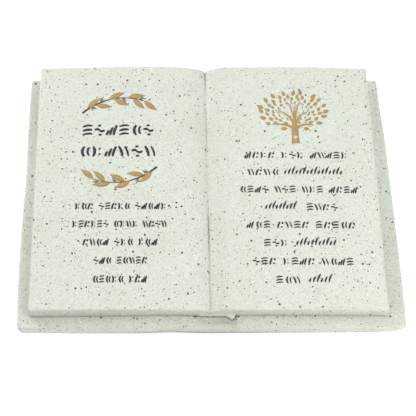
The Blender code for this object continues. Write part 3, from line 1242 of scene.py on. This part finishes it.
def shaken(finish, place):
    """The place, moved a little by fine noise, which makes the specks ragged."""
    noise_sockets = {"Vector": place, "Scale": 1.0 / SHAKE_LENGTH, "Detail": 1.0}
    noisy = finish.node("ShaderNodeTexNoise", {}, noise_sockets)
    either_way = {0: finish.take(noisy, 1), 1: (0.5, 0.5, 0.5)}
    shake = finish.node("ShaderNodeVectorMath", {"operation": "SUBTRACT"}, either_way)
    shortened = {0: finish.take(shake), "Scale": SHAKE_REACH}
    small = finish.node("ShaderNodeVectorMath", {"operation": "SCALE"}, shortened)
    moved = finish.node("ShaderNodeVectorMath", {"operation": "ADD"}, {0: place, 1: finish.take(small)})
    return finish.take(moved)


def cast_stone():
    """Pale reconstituted stone, sprinkled through with fine red-brown, black and olive specks."""
    finish = Finish("speckled_cast_stone", 0.7, 0.25)
    place = finish.take(finish.node("ShaderNodeTexCoord", {}, {}), 3)
    ragged = shaken(finish, place)
    clouds = finish.grain(place, 22.0 * MM, 3.0)
    patches = finish.grain(place, 10.0 * MM, 2.0)
    fine = finish.grain(place, 1.0 * MM, 2.0)
    grit = finish.grain(place, 0.45 * MM, 2.0)

    grey = finish.limit(0.30 + 1.5 * (fine - 0.5) + 1.3 * (grit - 0.5))
    stone = finish.blend(grey, PALE_STONE, GREY_STONE)
    stone = finish.blend(finish.limit((clouds - 0.45) * 1.2), stone, WARM_STONE)
    # Painted shade: the stone is mixed towards the dark shade colour by the amount stored at the vertices
    shade_amount = finish.take(finish.node("ShaderNodeAttribute", {"attribute_name": "painted_shade"}, {}), 2)
    stone = finish.blend(finish.limit(shade_amount * (0.3 + fine) * SHADE_SHARE), stone, SHADE_TINT)

    crowd = 1.0 + SPECK_CROWDING * (patches - 0.5)
    masks = []
    for cell, radius, share, ring_depth, depth in SPECK_SIZES:
        mask, ring, tint = speck_layer(finish, ragged, cell, radius, share, crowd)
        if ring_depth:
            stone = finish.blend(ring_depth * ring, stone, PALE_RESIN)
        stone = finish.blend(depth * mask, stone, tint)
        masks.append(mask)
    _, middling, bold = masks

    roughness = 0.62 + 0.18 * fine - 0.15 * bold
    height = 0.60 * fine + 0.40 * grit - 0.4 * bold - 0.2 * middling
    return finish.show(stone, roughness, height, STONE_RELIEF)


INK_RELIEF = 0.04 * MM


def ink(name, main, wear_and_light, roughness):
    """Printed ink that follows the stone's grain and thins a little over its high points."""
    finish = Finish(name, roughness, 0.3)
    place = finish.take(finish.node("ShaderNodeTexCoord", {}, {}), 3)
    fine = finish.grain(place, 0.6 * MM, 3.0)
    broad = finish.grain(place, 6.0 * MM, 2.0)
    tone = finish.blend(finish.limit((fine - 0.48) * 1.8 + (broad - 0.5) * 0.8), main, wear_and_light)
    return finish.show(tone, roughness + 0.15 * fine, fine, INK_RELIEF)


def dress(casting, left_print, right_print):
    stone = cast_stone()
    inks = (
        ink("slate_row_ink", colour(50, 54, 56), colour(86, 90, 90), 0.5),
        ink("tan_leaf_ink", colour(178, 149, 95), colour(197, 172, 124), 0.5),
        ink("brown_twig_ink", colour(66, 50, 28), colour(96, 78, 50), 0.5),
        ink("grey_sprout_ink", colour(118, 114, 98), colour(152, 148, 130), 0.5),
        stone,
    )
    casting.data.materials.append(stone)
    for piece in (left_print, right_print):
        for material in inks:
            piece.data.materials.append(material)
    for piece in (casting, left_print, right_print):
        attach(piece, "root")
    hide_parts("open_book")


# Floor, light and camera

# The floor glows faintly by itself close to the object, where the lamps light it too, and glows white
# beyond them
FLOOR_REACH = 12.0
FLOOR_GLOW = 0.335
POOL_START = 0.4
POOL_FADE = 0.9


def make_floor():
    form = bmesh.new()
    bmesh.ops.create_grid(form, x_segments=1, y_segments=1, size=FLOOR_REACH)
    bmesh.ops.translate(form, verts=form.verts, vec=(0.0, 0.0, BOX_LOW.z - 0.02 * MM))
    floor = piece_from(form, "studio_floor")
    finish = Finish("white_floor", 0.9, 0.0)
    finish.shader.inputs["Base Color"].default_value = (0.9, 0.9, 0.9, 1.0)
    place = finish.take(finish.node("ShaderNodeTexCoord", {}, {}), 3)
    reach = finish.node("ShaderNodeVectorMath", {"operation": "LENGTH"}, {0: place})
    beyond_lamps = finish.limit((finish.take(reach, 1) - POOL_START) / POOL_FADE)
    glow = finish.blend(beyond_lamps, (FLOOR_GLOW, FLOOR_GLOW, FLOOR_GLOW, 1.0), (1.0, 1.0, 1.0, 1.0))
    finish.feed(finish.shader.inputs["Emission Color"], glow)
    finish.shader.inputs["Emission Strength"].default_value = 1.0
    floor.data.materials.append(finish.material)


# Soft lamps round the object: azimuth from the front towards the right, elevation, distance in
# metres, and watts
LAMPS = {
    "front_right_low": (45.0, 30.0, 0.62, 2.0),
    "front_right_high": (45.0, 60.0, 1.0, 0.7),
    "right_low": (90.0, 30.0, 1.0, 1.2),
    "back_right_high": (135.0, 60.0, 1.0, 2.9),
    "back_left_low": (225.0, 30.0, 1.0, 5.3),
    "left_low": (270.0, 30.0, 1.0, 1.5),
    "left_high": (270.0, 60.0, 1.0, 0.9),
    "front_left_low": (315.0, 30.0, 1.0, 0.8),
    "front_left_high": (315.0, 60.0, 1.0, 1.07),
}
LAMP_WIDTH = 0.45
SKY_STRENGTH = 0.035


def away(azimuth, elevation):
    """The direction from the object towards a place round it, both angles in degrees."""
    turn = math.radians(azimuth)
    rise = math.radians(elevation)
    return Vector((math.sin(turn) * math.cos(rise), -math.cos(turn) * math.cos(rise), math.sin(rise)))


def make_lights():
    world = bpy.data.worlds.new("studio")
    world.use_nodes = True
    world.node_tree.nodes["Background"].inputs["Color"].default_value = (1.0, 1.0, 1.0, 1.0)
    world.node_tree.nodes["Background"].inputs["Strength"].default_value = SKY_STRENGTH
    bpy.context.scene.world = world
    for name, (azimuth, elevation, distance, watts) in LAMPS.items():
        lamp = bpy.data.lights.new(name, "AREA")
        lamp.shape = "DISK"
        lamp.size = LAMP_WIDTH
        lamp.energy = watts
        thing = bpy.data.objects.new(name, lamp)
        outward = away(azimuth, elevation)
        thing.location = outward * distance
        thing.rotation_euler = outward.to_track_quat("Z", "Y").to_euler()
        bpy.context.scene.collection.objects.link(thing)


CAMERA_AZIMUTH = -5.49
CAMERA_ELEVATION = 61.46
CAMERA_ROLL = 4.67
CAMERA_DISTANCE = 560.0 * MM
CAMERA_AIM = Vector((0.0, 0.0, 8.0 * MM))
CAMERA_SLIDE_RIGHT = -0.88 * MM
CAMERA_SLIDE_UP = -7.52 * MM
SENSOR_WIDTH = 36.0
LENS = 90.0


def make_camera():
    azimuth = math.radians(CAMERA_AZIMUTH)
    roll = math.radians(CAMERA_ROLL)
    back = away(CAMERA_AZIMUTH, CAMERA_ELEVATION)
    level = Vector((math.cos(azimuth), math.sin(azimuth), 0.0))
    upright = back.cross(level)
    right = level * math.cos(roll) + upright * math.sin(roll)
    up = upright * math.cos(roll) - level * math.sin(roll)
    lens = bpy.data.cameras.new("camera")
    lens.sensor_width = SENSOR_WIDTH
    lens.lens = LENS
    camera = bpy.data.objects.new("camera", lens)
    place = CAMERA_AIM + back * CAMERA_DISTANCE + right * CAMERA_SLIDE_RIGHT + up * CAMERA_SLIDE_UP
    turn = Matrix((right, up, back)).transposed().to_4x4()
    camera.matrix_world = Matrix.Translation(place) @ turn
    bpy.context.scene.collection.objects.link(camera)
    bpy.context.scene.camera = camera


make_camera()
dress(make_casting(), make_left_print(), make_right_print())
make_floor()
make_lights()
bpy.context.scene.view_settings.view_transform = "Standard"
